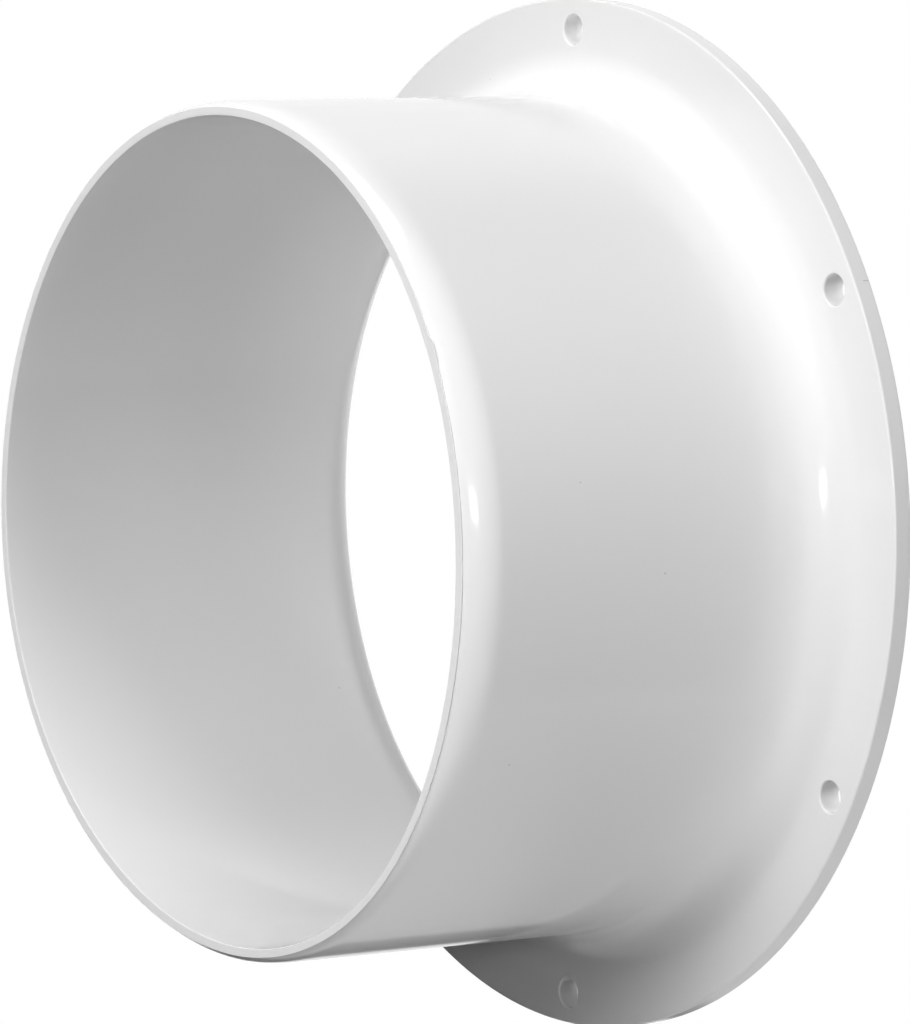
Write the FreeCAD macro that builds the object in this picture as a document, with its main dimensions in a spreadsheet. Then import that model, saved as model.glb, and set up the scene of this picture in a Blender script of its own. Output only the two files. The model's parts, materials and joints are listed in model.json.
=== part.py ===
import FreeCAD, Part
import Sketcher
import math
import os

# Duct wall connector, 150 mm nominal: one moulded piece.
# A round spigot with a bell mouth stands on a flat screw flange.
# Frame: +Z is up on the wall, the duct axis is Y, the spigot points to -Y.
# The origin is the centre of the flange's back face, which meets the wall.

# Name, millimetres (or a count), and what it is
SIZES = [
    ("spigot_dia", 149.4, "outside of the spigot"),
    ("spigot_wall", 4.7, "wall of the spigot"),
    ("overall_len", 78.3, "wall face to the rim"),
    ("rim_land", 1.8, "width of the rim's flat land"),
    ("lead_in_len", 6.5, "length of the curved lead-in behind the rim"),
    ("flange_width", 17.3, "spigot's outside to the flange's edge"),
    ("flange_thick", 3.5, "flange, front to back"),
    ("root_radius", 8.5, "fillet between spigot and flange"),
    ("bell_radius", 9.0, "rounding of the bore into the wall face"),
    ("edge_break", 0.3, "chamfer of both edges of the flange"),
    ("hole_dia", 5.5, "screw holes"),
    ("hole_inset", 5.5, "screw hole's centre to the flange's edge"),
    ("hole_count", 6, "number of screw holes"),
    ("hole_break", 0.3, "chamfer of the front edge of a screw hole"),
    ("overrun", 2.0, "how far the hole cutter passes both faces"),
]

MATCH = 1e-3
FULL_TURN = 360.0

doc = FreeCAD.newDocument("WallConnector")


def make_sheet():
    """Put the driving sizes in a sheet, each under its own alias."""
    sheet = doc.addObject("Spreadsheet::Sheet", "Sizes")
    for row, (name, value, note) in enumerate(SIZES, start=1):
        sheet.set(f"A{row}", name)
        sheet.set(f"B{row}", str(value))
        sheet.set(f"C{row}", note)
        sheet.setAlias(f"B{row}", name)
    doc.recompute()
    return sheet


sheet = make_sheet()


def size(name):
    """Read one driving size from the sheet."""
    return float(getattr(sheet, name))


def spigot_radius():
    return size("spigot_dia") / 2


def bore_radius():
    return spigot_radius() - size("spigot_wall")


def flange_radius():
    return spigot_radius() + size("flange_width")


def hole_radius():
    """Distance of the screw holes from the duct axis."""
    return flange_radius() - size("hole_inset")


def origin_part(body, role):
    """Find one of the body's own origin planes or axes."""
    for item in body.Origin.OriginFeatures:
        if item.Role == role:
            return item
    raise RuntimeError(f"no {role} in {body.Name}")


def new_sketch(body, role, name):
    """Start a sketch on one of the body's origin planes."""
    sketch = body.newObject("Sketcher::SketchObject", name)
    sketch.AttachmentSupport = [(origin_part(body, role), "")]
    sketch.MapMode = "FlatFace"
    return sketch


def bind(sketch, name, kind, *refs, to):
    """Add a named dimension to the sketch and tie it to the sheet."""
    index = sketch.addConstraint(Sketcher.Constraint(kind, *refs))
    sketch.renameConstraint(index, name)
    sketch.setExpression(f"Constraints.{name}", to)


def profile_sketch(body):
    """Half section of the connector: across is the radius, down is towards the rim."""
    sketch = new_sketch(body, "XY_Plane", "Profile")
    outer, middle, inner = flange_radius(), spigot_radius(), bore_radius()
    front_depth = size("flange_thick")
    rim_depth = size("overall_len")
    lead_in_depth = rim_depth - size("lead_in_len")
    corners = [
        (inner, 0.0),
        (outer, 0.0),
        (outer, -front_depth),
        (middle, -front_depth),
        (middle, -lead_in_depth),
        (inner + size("rim_land"), -rim_depth),
        (inner, -rim_depth),
    ]
    points = [FreeCAD.Vector(x, y, 0) for x, y in corners]
    back, edge, front, spigot, lead_in, rim, bore = range(len(points))
    for k in (back, edge, front, spigot):
        sketch.addGeometry(Part.LineSegment(points[k], points[k + 1]))

    # The lead-in arc leaves the spigot smoothly and ends at the rim's land
    start, end = points[lead_in], points[rim]
    drop = start.x - end.x
    length = start.y - end.y
    radius = (drop**2 + length**2) / (2 * drop)
    centre = FreeCAD.Vector(start.x - radius, start.y, 0)
    circle = Part.Circle(centre, FreeCAD.Vector(0, 0, 1), radius)
    sketch.addGeometry(Part.ArcOfCircle(circle, -math.asin(length / radius), 0.0))
    sketch.addGeometry(Part.LineSegment(points[rim], points[bore]))
    sketch.addGeometry(Part.LineSegment(points[bore], points[back]))

    first, second, origin = 1, 2, -1
    joins = [
        (back, second, edge, first),
        (edge, second, front, first),
        (front, second, spigot, first),
        (lead_in, first, rim, first),
        (rim, second, bore, first),
        (bore, second, back, first),
    ]
    for join in joins:
        sketch.addConstraint(Sketcher.Constraint("Coincident", *join))
    sketch.addConstraint(Sketcher.Constraint("Tangent", spigot, second, lead_in, second))
    for flat in (back, front, rim):
        sketch.addConstraint(Sketcher.Constraint("Horizontal", flat))
    for upright in (edge, spigot, bore):
        sketch.addConstraint(Sketcher.Constraint("Vertical", upright))
    sketch.addConstraint(Sketcher.Constraint("PointOnObject", back, first, origin))

    bind(sketch, "spigot_radius", "DistanceX", origin, first, spigot, second, middle,
         to="Sizes.spigot_dia / 2")
    bind(sketch, "wall", "DistanceX", bore, second, spigot, second, size("spigot_wall"),
         to="Sizes.spigot_wall")
    bind(sketch, "flange_width", "DistanceX", spigot, first, edge, second, size("flange_width"),
         to="Sizes.flange_width")
    bind(sketch, "land", "DistanceX", rim, second, rim, first, size("rim_land"),
         to="Sizes.rim_land")
    bind(sketch, "thickness", "DistanceY", edge, second, edge, first, front_depth,
         to="Sizes.flange_thick")
    bind(sketch, "length", "DistanceY", bore, first, origin, first, rim_depth,
         to="Sizes.overall_len")
    bind(sketch, "lead_in", "DistanceY", rim, first, spigot, second, size("lead_in_len"),
         to="Sizes.lead_in_len")
    return sketch


def ring_edges(feature, rings):
    """Names of the round edges about the duct axis with these radii and depths."""
    names = []
    for index, edge in enumerate(feature.Shape.Edges, start=1):
        curve = edge.Curve
        if not isinstance(curve, Part.Circle):
            continue
        for radius, depth in rings:
            near_axis = math.hypot(curve.Center.x, curve.Center.z) < MATCH
            if near_axis and abs(curve.Radius - radius) < MATCH and abs(curve.Center.y + depth) < MATCH:
                names.append(f"Edge{index}")
    if len(names) != len(rings):
        raise RuntimeError(f"{len(names)} edges found for {len(rings)} rings")
    return names


def dress_rings(body, base, kind, name, alias, rings):
    """Fillet or chamfer these edges by one size of the sheet."""
    dressing = body.newObject(f"PartDesign::{kind}", name)
    dressing.Base = (base, ring_edges(base, rings))
    measure = {"Fillet": "Radius", "Chamfer": "Size"}[kind]
    setattr(dressing, measure, size(alias))
    dressing.setExpression(measure, f"Sizes.{alias}")
    body.Tip = dressing
    doc.recompute()
    return dressing


def hole_sketch(body):
    """Half section of one screw hole, above the duct axis: across is Y, up is Z."""
    sketch = new_sketch(body, "YZ_Plane", "HoleProfile")
    axis_height = hole_radius()
    radius = size("hole_dia") / 2
    mouth = -size("flange_thick")
    behind = size("overrun")
    before = mouth - size("overrun")
    chamfer = size("hole_break")
    wide = radius + chamfer
    corners = [
        (before, 0.0),
        (behind, 0.0),
        (behind, radius),
        (mouth + chamfer, radius),
        (mouth, wide),
        (before, wide),
    ]
    points = [FreeCAD.Vector(y, axis_height + height, 0) for y, height in corners]
    for k, point in enumerate(points):
        sketch.addGeometry(Part.LineSegment(point, points[(k + 1) % len(points)]))
    middle, back, wall, slope, outer, front = range(len(points))
    axis = sketch.addGeometry(Part.LineSegment(points[0], points[1]), True)

    first, second, origin = 1, 2, -1
    for k in range(len(points)):
        join = (k, second, (k + 1) % len(points), first)
        sketch.addConstraint(Sketcher.Constraint("Coincident", *join))
    sketch.addConstraint(Sketcher.Constraint("Coincident", axis, first, middle, first))
    sketch.addConstraint(Sketcher.Constraint("Coincident", axis, second, middle, second))
    for flat in (middle, wall, outer):
        sketch.addConstraint(Sketcher.Constraint("Horizontal", flat))
    for upright in (back, front):
        sketch.addConstraint(Sketcher.Constraint("Vertical", upright))

    bind(sketch, "axis_height", "DistanceY", origin, first, middle, first, axis_height,
         to="Sizes.spigot_dia / 2 + Sizes.flange_width - Sizes.hole_inset")
    bind(sketch, "radius", "DistanceY", middle, second, wall, first, radius,
         to="Sizes.hole_dia / 2")
    bind(sketch, "chamfer_out", "DistanceY", slope, first, slope, second, chamfer,
         to="Sizes.hole_break")
    bind(sketch, "chamfer_in", "DistanceX", slope, second, slope, first, chamfer,
         to="Sizes.hole_break")
    bind(sketch, "mouth", "DistanceX", slope, second, origin, first, -mouth,
         to="Sizes.flange_thick")
    bind(sketch, "behind", "DistanceX", origin, first, back, first, size("overrun"),
         to="Sizes.overrun")
    bind(sketch, "before", "DistanceX", front, first, slope, second, size("overrun"),
         to="Sizes.overrun")
    return sketch


def make_connector():
    """Revolve the section, round it, and sink the screw holes."""
    body = doc.addObject("PartDesign::Body", "Connector")
    body.Label = "wall_connector"

    profile = profile_sketch(body)
    shell = body.newObject("PartDesign::Revolution", "Shell")
    shell.Profile = profile
    shell.ReferenceAxis = (profile, ["V_Axis"])
    shell.Angle = FULL_TURN
    profile.Visibility = False
    body.Tip = shell
    doc.recompute()

    front_depth = size("flange_thick")
    root_ring = (spigot_radius(), front_depth)
    bell_ring = (bore_radius(), 0.0)
    flange_rings = [(flange_radius(), depth) for depth in (0.0, front_depth)]
    rooted = dress_rings(body, shell, "Fillet", "Root", "root_radius", [root_ring])
    belled = dress_rings(body, rooted, "Fillet", "Bell", "bell_radius", [bell_ring])
    edged = dress_rings(body, belled, "Chamfer", "FlangeEdges", "edge_break", flange_rings)
    whole = edged.Shape.Volume

    hole = hole_sketch(body)
    cutter = body.newObject("PartDesign::Groove", "ScrewHole")
    cutter.Profile = hole
    cutter.ReferenceAxis = (hole, ["Axis0"])
    cutter.Angle = FULL_TURN
    hole.Visibility = False
    body.Tip = cutter
    doc.recompute()
    one_hole = whole - cutter.Shape.Volume

    holes = body.newObject("PartDesign::PolarPattern", "ScrewHoles")
    holes.Originals = [cutter]
    holes.Axis = (origin_part(body, "Y_Axis"), [""])
    holes.Angle = FULL_TURN
    holes.Occurrences = int(size("hole_count"))
    holes.setExpression("Occurrences", "Sizes.hole_count")
    body.Tip = holes
    doc.recompute()
    all_holes = whole - holes.Shape.Volume

    if one_hole <= 0 or abs(all_holes - one_hole * size("hole_count")) > MATCH * all_holes:
        raise RuntimeError(f"screw holes cut {all_holes:.3f} mm3, one cuts {one_hole:.3f} mm3")
    return body


def check(bodies):
    """Stop if any object of the document failed, or a shape isn't whole."""
    for item in doc.Objects:
        if "Invalid" in item.State or "Error" in item.State:
            raise RuntimeError(f"{item.Name}: {item.State}")
        if item.TypeId == "Sketcher::SketchObject" and not item.FullyConstrained:
            raise RuntimeError(f"{item.Name} isn't fully constrained")
    for body in bodies:
        if body.Shape.isNull() or not body.Shape.isValid():
            raise RuntimeError(f"{body.Label} has no valid shape")


def write(bodies):
    """Write each piece to its own file, named after its label."""
    os.makedirs("parts", exist_ok=True)
    for body in bodies:
        body.Shape.exportStep(f"parts/{body.Label}.step")
        print(body.Label, f"{body.Shape.Volume / 1000:.1f} cm3", len(body.Shape.Faces), "faces")


pieces = [make_connector()]
doc.recompute()
check(pieces)
write(pieces)
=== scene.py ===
"""Looks, lamps and camera for the duct wall connector, laid out as an add-on and run as a script.

The connector is one moulding. Geometry Nodes turn the section of its wall round the duct's axis and
cut the screw holes. Everything is in metres in the part's own frame: the wall is the plane y = 0, the
spigot points to -Y, and +Z is up.
"""
import json
import math

import bpy
from bpy.props import FloatProperty, FloatVectorProperty, IntProperty, PointerProperty
from mathutils import Matrix, Vector


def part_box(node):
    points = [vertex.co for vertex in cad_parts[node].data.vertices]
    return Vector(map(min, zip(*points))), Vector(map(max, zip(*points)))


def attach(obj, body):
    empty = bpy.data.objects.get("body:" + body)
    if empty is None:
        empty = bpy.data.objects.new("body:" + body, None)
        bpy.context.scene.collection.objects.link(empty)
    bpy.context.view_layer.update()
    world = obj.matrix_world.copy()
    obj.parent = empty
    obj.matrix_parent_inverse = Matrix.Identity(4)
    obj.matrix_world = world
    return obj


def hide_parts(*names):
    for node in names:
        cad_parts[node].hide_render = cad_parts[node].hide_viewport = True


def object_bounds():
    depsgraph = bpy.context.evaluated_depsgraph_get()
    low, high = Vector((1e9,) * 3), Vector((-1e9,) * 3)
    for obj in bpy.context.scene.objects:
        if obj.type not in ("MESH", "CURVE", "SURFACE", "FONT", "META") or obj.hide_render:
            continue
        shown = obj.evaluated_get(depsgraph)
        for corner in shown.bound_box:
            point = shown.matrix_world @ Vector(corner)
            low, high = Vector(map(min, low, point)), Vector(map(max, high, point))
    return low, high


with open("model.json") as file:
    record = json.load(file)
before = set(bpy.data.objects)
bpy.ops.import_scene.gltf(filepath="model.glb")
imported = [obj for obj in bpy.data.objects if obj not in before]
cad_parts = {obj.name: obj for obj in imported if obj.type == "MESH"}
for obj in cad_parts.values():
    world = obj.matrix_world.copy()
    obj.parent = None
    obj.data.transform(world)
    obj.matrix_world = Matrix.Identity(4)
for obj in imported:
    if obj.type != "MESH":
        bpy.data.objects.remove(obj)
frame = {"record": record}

CAD_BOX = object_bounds()
MOUNTS = {mount["name"]: mount for mount in frame["record"]["mounts"]}
NODE = "wall_connector"
BODY = "root"

# Steps round the duct's axis and round a screw hole, and the angle from which an edge looks sharp.
TURN_STEPS = 480
HOLE_STEPS = 48
CREASE = math.radians(40)

# The burr on the rim: the angles over which it rises and falls, and its height in mm.
BURR_RISE = (math.radians(25.4), math.radians(28.8))
BURR_FALL = (math.radians(29.8), math.radians(30.8))
BURR_HEIGHT = 0.5

# The nick in the flange's edge: its angle, and its depth, width and length in mm.
NICK_ANGLE = math.radians(29.25)
NICK_SIZE = (0.4, 0.13, 3.0)

# How the rim is out of round: the number of lobes, their height in mm and the angle of one of them.
RIM_LOBES = (
    (1, 0.20, math.radians(70.7)),
    (2, 0.90, math.radians(-68.3)),
    (3, 0.62, math.radians(-54.2)),
    (4, 0.25, math.radians(31.9)),
)

# The photograph's camera, fitted to the outlines, in degrees and metres. The target is how far to the
# right of the origin and how far above it the camera aims.
IMAGE_HEIGHT = 1024
FOCAL_PIXELS = 6681.4
SENSOR_MM = 36.0
VIEW_AZIMUTH = 53.4977
VIEW_ELEVATION = 4.7112
VIEW_DISTANCE = 1.19846
VIEW_TARGET = (-0.02353, 0.00006)
VIEW_ROLL = math.radians(0.1836)

LAMP_SPREAD = math.radians(70)

bl_info = {
    "name": "Duct wall connector",
    "version": (1, 0, 0),
    "blender": (4, 5, 0),
    "location": "3D View > Sidebar > Connector",
    "description": "Builds the moulded duct collar, its plastic and a plain studio round it",
    "category": "Object",
}


def mm(value):
    """Millimetres as metres."""
    return value / 1000.0


def mount_size(name, key):
    """A size that the record states for one of the mounts, in metres."""
    return mm(MOUNTS[name]["dims"][key])


def length(name, description, default):
    """A property for a length in metres."""
    return FloatProperty(
        name=name, description=description, default=default, min=0, precision=5, unit="LENGTH")


class ConnectorSizes(bpy.types.PropertyGroup):
    """Sizes of the moulding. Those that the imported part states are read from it."""

    spigot: length("Spigot radius", "Outside of the spigot", mount_size("spigot", "r_mm"))
    bore: length("Bore radius", "Inside of the spigot", mount_size("bore", "r_mm"))
    reach: length(
        "Overall length", "From the wall to the rim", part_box(NODE)[1].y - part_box(NODE)[0].y)
    land: length("Rim land", "Width of the flat ring at the rim", mm(1.8))
    lead_in: length(
        "Lead-in length", "Length over which the outside curves in to the rim", mm(6.5))
    flange: length("Flange radius", "Outside of the flange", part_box(NODE)[1].x)
    thickness: length("Flange thickness", "Thickness of the flat ring", mm(3.5))
    root: length("Root radius", "Fillet between the spigot and the flange", mm(8.5))
    bell: length("Bell radius", "Rounding of the bore at the wall", mm(9.0))
    edge: length("Edge radius", "Rounding of the flange's outer edges", mm(0.35))
    draft: length(
        "Bore draft", "How much wider the bore is at the rim than at the wall, in radius", mm(1.17))
    rim: length("Rim radius", "Rounding of the rim's two edges", mm(0.12))
    step: length(
        "Rim step", "Step in the mould's parting line, round the outside of the rim land", mm(0.3))
    groove: length("Rim groove", "Depth of the fine groove behind that step", mm(0.14))
    hole: length(
        "Hole radius", "Radius of a screw hole", mount_size("wall_screws", "hole_r_mm"))
    hole_circle: length(
        "Hole circle", "Radius of the circle of holes", mount_size("wall_screws", "pcd_mm") / 2)
    hole_back: length(
        "Hole radius behind", "Radius of a screw hole at the wall, where it is narrower", mm(2.0))
    hole_throat: length(
        "Hole throat", "Depth over which a screw hole narrows, at the wall", mm(1.1))
    hole_edge: length("Hole edge", "Rounding of a hole's front edge", mm(0.35))
    hole_count: IntProperty(
        name="Hole count", description="Number of screw holes, the first straight above the axis",
        default=int(MOUNTS["wall_screws"]["dims"]["count"]), min=1)


class PlasticLook(bpy.types.PropertyGroup):
    """Colour and surface of the moulded plastic."""

    colour: FloatVectorProperty(
        name="Colour", description="Colour of the plastic", subtype="COLOR", size=3, min=0, max=1,
        default=(0.86, 0.86, 0.86))
    # Painted light: the rim land's colour is lighter than the plastic's, standing in for light that the
    # lamps don't bring to the flat rim.
    rim_painted_light_colour: FloatVectorProperty(
        name="Cut colour", description="Colour of the rim, which was cut and is matt",
        subtype="COLOR", size=3, min=0, max=1, default=(0.94, 0.94, 0.94))
    tone_change: FloatProperty(
        name="Tone change", description="How far slow flow marks darken the colour", default=0.03,
        min=0, max=1)
    roughness: FloatProperty(
        name="Roughness", description="Roughness of the clean plastic", default=0.12, min=0, max=1)
    grain: length("Grain size", "Size of the fine unevenness that the mould leaves", mm(0.6))
    grain_depth: length("Grain depth", "Depth of that unevenness", mm(0.002))
    dust: length("Dust spacing", "Mean distance between dust specks", mm(9.0))


def power(name, description, default):
    """A property for a lamp's power in watts."""
    return FloatProperty(name=name, description=description, default=default, min=0, unit="POWER")


class StudioLook(bpy.types.PropertyGroup):
    """Lamps, floor and surroundings."""

    floor_colour: FloatVectorProperty(
        name="Floor colour", description="Colour of the floor", subtype="COLOR", size=3, min=0,
        max=1, default=(0.86, 0.86, 0.86))
    floor_drop: length("Floor drop", "How far below the duct's axis the floor lies", 0.9)
    room_level: FloatProperty(
        name="Room level", description="Brightness of the surroundings where they light the part",
        default=0.02, min=0)
    key: power("Key", "Large soft lamp in front and above", 2.2)
    top: power("Top", "Soft lamp overhead", 0.85)
    low: power("Low", "Soft lamp on the camera's right, from below", 0.6)
    back: power("Back", "Soft lamp behind the wall's plane", 0.93)
    left: power("Left", "Low lamp on the camera's left, which lights the cut rim", 0.08)
    fill: power("Fill", "Soft lamp on the spigot's far side", 0.25)
    spark: power("Spark", "Small strip lamp beside the camera, which makes the bright spots", 0.2)


class Wire:
    """An output of a node. An operator on it adds a Math node and gives that node's output."""

    def __init__(self, bench, socket):
        self.bench = bench
        self.socket = socket

    def __add__(self, other):
        return self.bench.maths("ADD", self, other)

    def __radd__(self, other):
        return self.bench.maths("ADD", other, self)

    def __sub__(self, other):
        return self.bench.maths("SUBTRACT", self, other)

    def __rsub__(self, other):
        return self.bench.maths("SUBTRACT", other, self)

    def __mul__(self, other):
        return self.bench.maths("MULTIPLY", self, other)

    def __rmul__(self, other):
        return self.bench.maths("MULTIPLY", other, self)

    def __truediv__(self, other):
        return self.bench.maths("DIVIDE", self, other)

    def __lt__(self, other):
        return self.bench.maths("LESS_THAN", self, other)

    def __gt__(self, other):
        return self.bench.maths("GREATER_THAN", self, other)

    def out(self, name):
        """Another output of the same node."""
        return Wire(self.bench, self.socket.node.outputs[name])


class Bench:
    """Adds nodes to one tree."""

    def __init__(self, tree):
        self.tree = tree

    def add(self, kind, settings=None, inputs=None):
        """A node of a kind, its settings made first and its inputs then set or linked, as a wire."""
        node = self.tree.nodes.new(kind)
        for name, value in (settings or {}).items():
            if name == "switch_items":
                while len(node.index_switch_items) < value:
                    node.index_switch_items.new()
            else:
                setattr(node, name, value)
        for name, value in (inputs or {}).items():
            self.plug(node.inputs[name], value)
        return Wire(self, node.outputs[0]) if node.outputs else None

    def plug(self, socket, value):
        """Sets an input, or links it where the value is a wire or a list of wires."""
        if isinstance(value, list):
            for wire in value:
                self.tree.links.new(wire.socket, socket)
        elif isinstance(value, Wire):
            self.tree.links.new(value.socket, socket)
        else:
            socket.default_value = value

    def maths(self, operation, *values):
        """A Math node on wires and plain numbers."""
        return self.add("ShaderNodeMath", {"operation": operation}, dict(enumerate(values)))

    def choose(self, data_type, values):
        """The value whose place in a list is the index of the point in hand."""
        inputs = {0: self.add("GeometryNodeInputIndex")}
        inputs.update(enumerate(values, 1))
        settings = {"data_type": data_type, "switch_items": len(values)}
        return self.add("GeometryNodeIndexSwitch", settings, inputs)

    def mix(self, share, first, second):
        """A colour between two, the second where the share is 1."""
        return self.add("ShaderNodeMix", {"data_type": "RGBA"}, {0: share, 6: first, 7: second}).out(2)

    def noise(self, place, spacing, detail):
        """Smooth noise with features a spacing apart."""
        return self.add("ShaderNodeTexNoise", {}, {
            "Vector": place, "Scale": 1 / spacing, "Detail": detail})

    def smooth_rise(self, value, start, end):
        """0 before start, 1 after end, and a smooth rise between."""
        return self.add("ShaderNodeMapRange", {"interpolation_type": "SMOOTHSTEP"}, {
            "Value": value, "From Min": start, "From Max": end})

    def even_rise(self, value, start, end):
        """0 before start, 1 after end, and a straight rise between."""
        return self.add("ShaderNodeMapRange", {}, {
            "Value": value, "From Min": start, "From Max": end})


def section_corners(size):
    """Corners of the wall's section, from the rim's inner edge and round by the outside.

    Each is its radius, its distance from the wall, its rounding and the steps of that rounding. A
    corner with no rounding lies on a straight stretch beside a rounded one, and keeps it straight.
    The lead-in is an arc that ends along the spigot, so its corner lies where the tangents meet.
    """
    rim_outside = size["bore"] + size["land"]
    rim_flat = size["rim"] * 1.5
    step_foot = size["reach"] - size["step"]
    drop = size["spigot"] - rim_outside
    run = size["lead_in"] - size["step"]
    chord_squared = drop * drop + run * run
    lead_in_corner = size["reach"] - size["lead_in"] + chord_squared / (run * 2)
    fill = 0.97  # of the radius that would use up the whole lead-in
    lead_in_radius = chord_squared / (drop * 2) * fill
    beside = mm(0.4)
    edge_flat = size["edge"] * 1.5
    return [
        (size["bore"], size["reach"], size["rim"], 3),
        (size["bore"] + rim_flat, size["reach"], 0, 1),
        (rim_outside - rim_flat, size["reach"], 0, 1),
        (rim_outside, size["reach"], size["rim"] * 0.6, 2),
        (rim_outside, size["reach"] - size["step"] * 0.5, 0, 1),
        (rim_outside - size["groove"], step_foot, 0, 1),
        (size["spigot"], lead_in_corner, lead_in_radius, 16),
        (size["spigot"], size["reach"] - size["lead_in"] - beside, 0, 1),
        (size["spigot"], size["thickness"] + size["root"] + beside, 0, 1),
        (size["spigot"], size["thickness"], size["root"], 20),
        (size["spigot"] + size["root"] + beside, size["thickness"], 0, 1),
        (size["flange"] - edge_flat, size["thickness"], 0, 1),
        (size["flange"], size["thickness"], size["edge"], 5),
        (size["flange"], size["thickness"] - edge_flat, 0, 1),
        (size["flange"], edge_flat, 0, 1),
        (size["flange"], 0, size["edge"], 5),
        (size["flange"] - edge_flat, 0, 0, 1),
        (size["bore"] + size["bell"] + beside, 0, 0, 1),
        (size["bore"], 0, size["bell"], 18),
        (size["bore"], size["bell"] + beside, 0, 1),
        (size["bore"], size["reach"] - beside, 0, 1),
    ]


def drill_corners(size):
    """Corners of the tool that cuts one screw hole, from its axis behind the wall to its axis in front.

    Its flare rises a little from the flange's face, so that the two never lie in one plane.
    """
    spare = mm(1)
    slope = (size["hole"] - size["hole_back"]) / size["hole_throat"]
    flare, flare_rise = size["hole"] + size["hole_edge"] * 1.8, size["hole_edge"] * 0.08
    return [
        (0, -spare, 0, 1),
        (size["hole_back"] - slope * spare, -spare, 0, 1),
        (size["hole"], size["hole_throat"], 0, 1),
        (size["hole"], size["thickness"], size["hole_edge"], 6),
        (flare, size["thickness"] + flare_rise, 0, 1),
        (flare, size["thickness"] + spare, 0, 1),
        (0, size["thickness"] + spare, 0, 1),
    ]


def turned(bench, corners, radius, steps, closed):
    """A section turned round the Z axis, built as a rounded outline carried round a circle."""
    weld = mm(0.002)
    places, roundings, counts = [], [], []
    for out, along, rounding, count in corners:
        across = bench.maths("SUBTRACT", out, radius)
        places.append(bench.add("ShaderNodeCombineXYZ", {}, {0: across, 1: along}))
        roundings.append(rounding)
        counts.append(count)
    line = bench.add("GeometryNodeCurvePrimitiveLine")
    line = bench.add("GeometryNodeResampleCurve", {}, {"Curve": line, "Count": len(corners)})
    line = bench.add("GeometryNodeSetPosition", {}, {
        "Geometry": line, "Position": bench.choose("VECTOR", places)})
    line = bench.add("GeometryNodeSetSplineCyclic", {}, {"Geometry": line, "Cyclic": closed})
    line = bench.add("GeometryNodeFilletCurve", {"mode": "POLY"}, {
        "Curve": line, "Limit Radius": True,
        "Radius": bench.choose("FLOAT", roundings), "Count": bench.choose("INT", counts)})
    ring = bench.add("GeometryNodeCurvePrimitiveCircle", {"mode": "RADIUS"}, {
        "Resolution": steps, "Radius": radius})
    shell = bench.add("GeometryNodeCurveToMesh", {}, {"Curve": ring, "Profile Curve": line})
    return bench.add("GeometryNodeMergeByDistance", {}, {"Geometry": shell, "Distance": weld})


def round_axis(bench):
    """Where a point lies: its radius and angle round the turning axis, and its place along it."""
    split = bench.add("ShaderNodeSeparateXYZ", {}, {0: bench.add("GeometryNodeInputPosition")})
    across, down = split, split.out("Y")
    radius = bench.maths("SQRT", across * across + down * down)
    angle = bench.maths("ARCTAN2", 0 - down, across)
    return radius, angle, split.out("Z")


def drawn_out(bench, body, share, where=True):
    """Moves points straight away from the turning axis, by a share of their radius."""
    here = bench.add("GeometryNodeInputPosition")
    outwards = bench.add("ShaderNodeVectorMath", {"operation": "SCALE"}, {0: here, "Scale": share})
    level = bench.add("ShaderNodeVectorMath", {"operation": "MULTIPLY"}, {0: outwards, 1: (1, 1, 0)})
    return bench.add("GeometryNodeSetPosition", {}, {
        "Geometry": body, "Selection": where, "Offset": level})


def rim_burr(bench, body, size):
    """Draws the rim's step outwards over a few millimetres, where it tore as it left the mould."""
    radius, angle, along = round_axis(bench)
    at_lip = bench.maths("COMPARE", radius, size["bore"] + size["land"], mm(0.03))
    at_rim = along < 0 - size["reach"] + mm(0.25)
    torn = bench.smooth_rise(angle, *BURR_RISE) * (1 - bench.smooth_rise(angle, *BURR_FALL))
    return drawn_out(bench, body, torn * mm(BURR_HEIGHT) / radius, at_lip * at_rim)


def soft_rim(bench, body, size):
    """Widens the bore towards the rim by its draft, and takes the rim a little out of round."""
    radius, angle, along = round_axis(bench)
    widening = size["draft"]
    for lobes, height, top in RIM_LOBES:
        widening = widening + bench.maths("COSINE", (angle - top) * lobes) * mm(height)
    outside = bench.even_rise(radius, size["bore"], size["spigot"])
    forward = bench.even_rise(0 - along, size["bell"], size["reach"])
    share = (1 - outside * outside) * forward
    return drawn_out(bench, body, widening * share / radius)


def edge_nick(bench, size):
    """The thin wedge that leaves a nick across the flange's edge."""
    wedge = bench.add("GeometryNodeMeshCube", {}, {"Size": tuple(mm(side) for side in NICK_SIZE)})
    place = bench.add("ShaderNodeCombineXYZ", {}, {0: size["flange"]})
    wedge = bench.add("GeometryNodeTransform", {}, {"Geometry": wedge, "Translation": place})
    return bench.add("GeometryNodeTransform", {}, {"Geometry": wedge, "Rotation": (0, 0, -NICK_ANGLE)})


def hole_drills(bench, size):
    """The tools that cut the screw holes, the first of them straight above the axis."""
    drill = turned(bench, drill_corners(size), size["hole"], HOLE_STEPS, False)
    places = bench.add("GeometryNodeMeshCircle", {}, {
        "Vertices": size["hole_count"], "Radius": size["hole_circle"]})
    places = bench.add("GeometryNodeTransform", {}, {
        "Geometry": places, "Rotation": (0, 0, -math.pi / 2)})
    drills = bench.add("GeometryNodeInstanceOnPoints", {}, {"Points": places, "Instance": drill})
    return bench.add("GeometryNodeRealizeInstances", {}, {"Geometry": drills})


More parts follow.
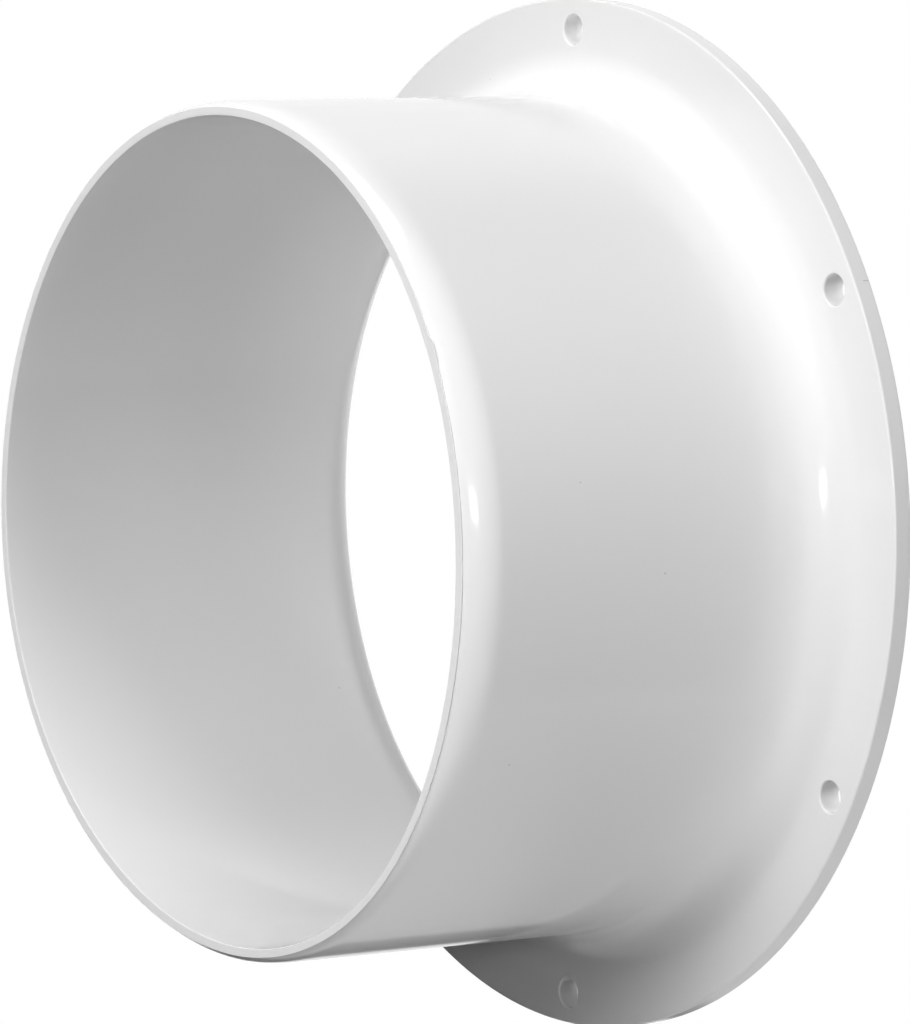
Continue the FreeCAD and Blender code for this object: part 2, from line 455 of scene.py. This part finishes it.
def moulding_tree(material):
    """The Geometry Nodes tree that makes the connector from its sizes, turned round Z and laid down."""
    tree = bpy.data.node_groups.new("Turned connector", "GeometryNodeTree")
    tree.interface.new_socket("Geometry", in_out="OUTPUT", socket_type="NodeSocketGeometry")
    for name, prop in ConnectorSizes.bl_rna.properties.items():
        if name in ConnectorSizes.__annotations__:
            kind = "NodeSocketInt" if prop.type == "INT" else "NodeSocketFloat"
            tree.interface.new_socket(name, in_out="INPUT", socket_type=kind)
    bench = Bench(tree)
    entry = bench.add("NodeGroupInput")
    size = {name: entry.out(name) for name in ConnectorSizes.__annotations__}

    body = turned(bench, section_corners(size), size["bore"], TURN_STEPS, True)
    body = rim_burr(bench, body, size)
    body = soft_rim(bench, body, size)
    body = bench.add("GeometryNodeMeshBoolean", {"operation": "DIFFERENCE", "solver": "EXACT"}, {
        "Mesh 1": body, "Mesh 2": [hole_drills(bench, size), edge_nick(bench, size)]})
    body = bench.add("GeometryNodeMergeByDistance", {}, {"Geometry": body, "Distance": mm(0.001)})
    body = bench.add("GeometryNodeTransform", {}, {
        "Geometry": body, "Rotation": (-math.pi / 2, 0, 0)})
    body = bench.add("GeometryNodeSetShadeSmooth", {"domain": "FACE"}, {
        "Geometry": body, "Shade Smooth": True})
    crease = bench.add("GeometryNodeInputMeshEdgeAngle") > CREASE
    body = bench.add("GeometryNodeSetShadeSmooth", {"domain": "EDGE"}, {
        "Geometry": body, "Selection": crease, "Shade Smooth": False})
    body = bench.add("GeometryNodeRealizeInstances", {}, {"Geometry": body})
    body = bench.add("GeometryNodeSetMaterial", {}, {"Geometry": body, "Material": material})
    bench.add("NodeGroupOutput", {}, {"Geometry": body})
    return tree


def opaque(colour):
    """A colour with full opacity."""
    return tuple(colour) + (1,)


def darkened(colour, share):
    """A colour made darker by a share of itself, with full opacity."""
    return opaque(part * (1 - share) for part in colour)


def dust_specks(bench, place, spacing):
    """1 on small specks of dust, in fewer than half of the cells a spacing wide, and 0 elsewhere."""
    cell = bench.add("ShaderNodeTexVoronoi", {"feature": "F1"}, {
        "Vector": place, "Scale": 1 / spacing, "Randomness": 1.0})
    luck = bench.add("ShaderNodeSeparateColor", {}, {0: cell.out("Color")})
    dusty_cells, largest = 0.45, 0.025
    return (cell.out("Distance") < luck.out("Green") * largest) * (luck < dusty_cells)


def plastic(look, reach):
    """Glossy white moulded plastic with slow flow marks, a fine grain, a little dust and a matt rim land
    whose lighter colour is painted light.
    """
    material = bpy.data.materials.new("White moulded plastic")
    material.use_nodes = True
    tree = material.node_tree
    tree.nodes.clear()
    bench = Bench(tree)
    place = bench.add("ShaderNodeTexCoord").out("Object")

    flow = bench.noise(place, mm(45), 3.0)
    grain = bench.noise(place, look.grain, 2.0)
    swell = bench.noise(place, mm(14), 1.0)
    handling = bench.noise(place, mm(22), 4.0)
    speck = dust_specks(bench, place, look.dust)
    # The rim land: it is given a matt roughness, and a lighter colour that is painted light.
    cut = bench.add("ShaderNodeSeparateXYZ", {}, {0: place}).out("Y") < mm(0.02) - reach

    dust_colour, dust_cover = (0.35, 0.34, 0.32, 1), 0.7
    colour = bench.mix(flow, opaque(look.colour), darkened(look.colour, look.tone_change))
    colour = bench.mix(speck * dust_cover, colour, dust_colour)
    # Painted light: the rim land is coloured lighter, in place of light that the lamps don't bring to it.
    colour = bench.mix(cut, colour, opaque(look.rim_painted_light_colour))

    handled, dusty, sawn = 0.06, 0.4, 0.3
    clean = look.roughness - handled / 2
    roughness = handling * handled + clean + speck * dusty + cut * sawn

    swell_depth = look.grain_depth * 6
    height = grain * look.grain_depth + swell * swell_depth + speck * mm(0.02)
    relief = bench.add("ShaderNodeBump", {}, {"Strength": 1.0, "Distance": 1.0, "Height": height})
    shader = bench.add("ShaderNodeBsdfPrincipled", {}, {
        "Base Color": colour, "Roughness": roughness, "IOR": 1.5, "Normal": relief})
    bench.add("ShaderNodeOutputMaterial", {}, {"Surface": shader})
    return material


def settle(piece):
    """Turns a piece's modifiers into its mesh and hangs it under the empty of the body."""
    graph = bpy.context.evaluated_depsgraph_get()
    mesh = bpy.data.meshes.new_from_object(piece.evaluated_get(graph), depsgraph=graph)
    piece.modifiers.clear()
    piece.data = mesh
    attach(piece, BODY)


class CONNECTOR_OT_moulding(bpy.types.Operator):
    """Turn the connector's wall round the duct's axis and cut its screw holes"""

    bl_idname = "connector.moulding"
    bl_label = "Moulding"

    def execute(self, context):
        sizes = context.scene.connector_sizes
        material = plastic(context.scene.connector_plastic, sizes.reach)
        tree = moulding_tree(material)
        piece = bpy.data.objects.new("connector_moulding", bpy.data.meshes.new("connector_moulding"))
        context.scene.collection.objects.link(piece)
        nodes = piece.modifiers.new("Turned connector", "NODES")
        nodes.node_group = tree
        for socket in tree.interface.items_tree:
            if socket.in_out == "INPUT":
                nodes[socket.identifier] = getattr(sizes, socket.name)
        weighted = piece.modifiers.new("Flat faces stay flat", "WEIGHTED_NORMAL")
        weighted.keep_sharp = True
        settle(piece)
        if not piece.data.polygons:
            raise RuntimeError("the moulding has no faces")
        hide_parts(NODE)
        return {"FINISHED"}


def direction(azimuth, elevation):
    """Unit vector from the part: azimuth from -Y towards +X, elevation towards +Z, in degrees."""
    azimuth, elevation = math.radians(azimuth), math.radians(elevation)
    level = math.cos(elevation)
    return Vector((math.sin(azimuth) * level, -math.cos(azimuth) * level, math.sin(elevation)))


def lamp(name, place, distance, width, height, energy, mirrored=False):
    """A rectangular soft lamp that faces the middle of the part, and is mirrored in it or not.

    Its place is its azimuth and its elevation in degrees.
    """
    data = bpy.data.lights.new(name, "AREA")
    data.shape = "RECTANGLE"
    data.size, data.size_y, data.energy = width, height, energy
    data.spread = LAMP_SPREAD
    item = bpy.data.objects.new(name, data)
    item.visible_glossy = mirrored
    middle = (CAD_BOX[0] + CAD_BOX[1]) / 2
    item.location = middle + direction(*place) * distance
    item.rotation_euler = (middle - item.location).to_track_quat("-Z", "Y").to_euler()
    bpy.context.scene.collection.objects.link(item)


def level_and_up(back):
    """The level direction across a view, and the one up it."""
    right = Vector((0, 0, 1)).cross(back).normalized()
    return right, back.cross(right)


def place_camera():
    """The photograph's view: a long lens that looks a little to the left of the flange's centre."""
    outwards = direction(VIEW_AZIMUTH, VIEW_ELEVATION)
    spot = outwards * VIEW_DISTANCE
    right, up = level_and_up(outwards)
    back = (spot - right * VIEW_TARGET[0] - up * VIEW_TARGET[1]).normalized()
    right, up = level_and_up(back)
    across = right * math.cos(VIEW_ROLL) + up * math.sin(VIEW_ROLL)
    upward = up * math.cos(VIEW_ROLL) - right * math.sin(VIEW_ROLL)
    data = bpy.data.cameras.new("Camera")
    data.sensor_width = SENSOR_MM
    data.lens = FOCAL_PIXELS / IMAGE_HEIGHT * SENSOR_MM
    camera = bpy.data.objects.new("Camera", data)
    turn = Matrix((across, upward, back)).transposed().to_4x4()
    camera.matrix_world = Matrix.Translation(spot) @ turn
    bpy.context.scene.collection.objects.link(camera)
    bpy.context.scene.camera = camera


def white_room(look):
    """Surroundings that look white, and whose reflection is white only on the far side of the part."""
    world = bpy.data.worlds.new("White room")
    world.use_nodes = True
    world.node_tree.nodes.clear()
    bench = Bench(world.node_tree)
    path = bench.add("ShaderNodeLightPath")
    way = bench.add("ShaderNodeTexCoord").out("Generated")
    away = -direction(VIEW_AZIMUTH, 0)
    facing = bench.add("ShaderNodeVectorMath", {"operation": "DOT_PRODUCT"}, {
        0: way, 1: away}).out("Value")
    height = bench.add("ShaderNodeSeparateXYZ", {}, {0: way}).out("Z")
    backdrop = bench.smooth_rise(facing, 0.25, 0.75) * bench.smooth_rise(height, -0.35, -0.29)
    seen = path + path.out("Is Transmission Ray") + path.out("Is Glossy Ray") * backdrop
    strength = bench.maths("MAXIMUM", bench.maths("MINIMUM", seen, 1.0), look.room_level)
    sky = bench.add("ShaderNodeBackground", {}, {"Color": (1, 1, 1, 1), "Strength": strength})
    bench.add("ShaderNodeOutputWorld", {}, {"Surface": sky})
    bpy.context.scene.world = world


def pale_floor_look(colour):
    """Matt pale plastic sheet that glows where the camera sees it, and less where the part mirrors it."""
    material = bpy.data.materials.new("Pale floor")
    material.use_nodes = True
    material.node_tree.nodes.clear()
    bench = Bench(material.node_tree)
    cloud = bench.noise(bench.add("ShaderNodeTexCoord").out("Object"), 0.4, 2.0)
    tone = bench.mix(cloud, opaque(colour), darkened(colour, 0.02))
    matt = bench.add("ShaderNodeBsdfDiffuse", {}, {"Color": tone})
    glow = bench.add("ShaderNodeEmission", {}, {"Color": (1, 1, 1, 1), "Strength": 1.2})
    path = bench.add("ShaderNodeLightPath")
    seen = bench.maths("MINIMUM", path + path.out("Is Transmission Ray"), 1.0)
    seen_share, mirrored_share = 0.8, 0.35
    glowing = seen * seen_share + path.out("Is Glossy Ray") * mirrored_share
    surface = bench.add("ShaderNodeMixShader", {}, {0: glowing, 1: matt, 2: glow})
    bench.add("ShaderNodeOutputMaterial", {}, {"Surface": surface})
    return material


def pale_floor(look):
    """A wide plain floor below the part. It looks white and keeps the part's shadow."""
    half, height = 1.0, -look.floor_drop
    corners = [(half * x, half * y, height) for x, y in ((-1, -1), (1, -1), (1, 1), (-1, 1))]
    mesh = bpy.data.meshes.new("floor")
    mesh.from_pydata(corners, [], [(0, 1, 2, 3)])
    mesh.materials.append(pale_floor_look(look.floor_colour))
    floor = bpy.data.objects.new("floor", mesh)
    bpy.context.scene.collection.objects.link(floor)


def light_part(look):
    """Six soft lamps round the part and a small strip beside the camera."""
    lamp("Key", (25, 30), 1.2, 0.5, 0.85, look.key)
    lamp("Top", (20, 80), 1.1, 0.4, 0.4, look.top, mirrored=True)
    lamp("Low", (96, -32), 1.1, 0.4, 0.25, look.low)
    lamp("Back", (180, -25), 1.1, 0.4, 0.25, look.back)
    lamp("Left", (-60, -5), 1.1, 0.4, 0.25, look.left)
    lamp("Fill", (-100, 25), 1.2, 0.5, 0.5, look.fill)
    lamp("Spark", (50, 7), 1.15, 0.3, 0.1, look.spark, mirrored=True)


class CONNECTOR_OT_stage(bpy.types.Operator):
    """Set the floor, the surroundings, the lamps and the camera"""

    bl_idname = "connector.stage"
    bl_label = "Stage"

    def execute(self, context):
        look = context.scene.connector_studio
        white_room(look)
        pale_floor(look)
        light_part(look)
        place_camera()
        context.scene.view_settings.view_transform = "Standard"
        return {"FINISHED"}


class CONNECTOR_PT_sidebar(bpy.types.Panel):
    """The connector's pieces, sizes and looks"""

    bl_idname = "CONNECTOR_PT_sidebar"
    bl_label = "Duct wall connector"
    bl_space_type = "VIEW_3D"
    bl_region_type = "UI"
    bl_category = "Connector"

    def draw(self, context):
        column = self.layout.column()
        for operator in OPERATORS:
            column.operator(operator.bl_idname)
        for name, group in GROUPS.items():
            box = self.layout.box()
            for entry in group.__annotations__:
                box.prop(getattr(context.scene, name), entry)


OPERATORS = (CONNECTOR_OT_moulding, CONNECTOR_OT_stage)
GROUPS = {
    "connector_sizes": ConnectorSizes,
    "connector_plastic": PlasticLook,
    "connector_studio": StudioLook,
}
CLASSES = tuple(GROUPS.values()) + OPERATORS + (CONNECTOR_PT_sidebar,)


def register():
    for item in CLASSES:
        bpy.utils.register_class(item)
    for name, group in GROUPS.items():
        setattr(bpy.types.Scene, name, PointerProperty(type=group))


def unregister():
    for name in GROUPS:
        delattr(bpy.types.Scene, name)
    for item in reversed(CLASSES):
        bpy.utils.unregister_class(item)


def main():
    register()
    bpy.ops.connector.moulding()
    bpy.ops.connector.stage()


if __name__ == "__main__":
    main()
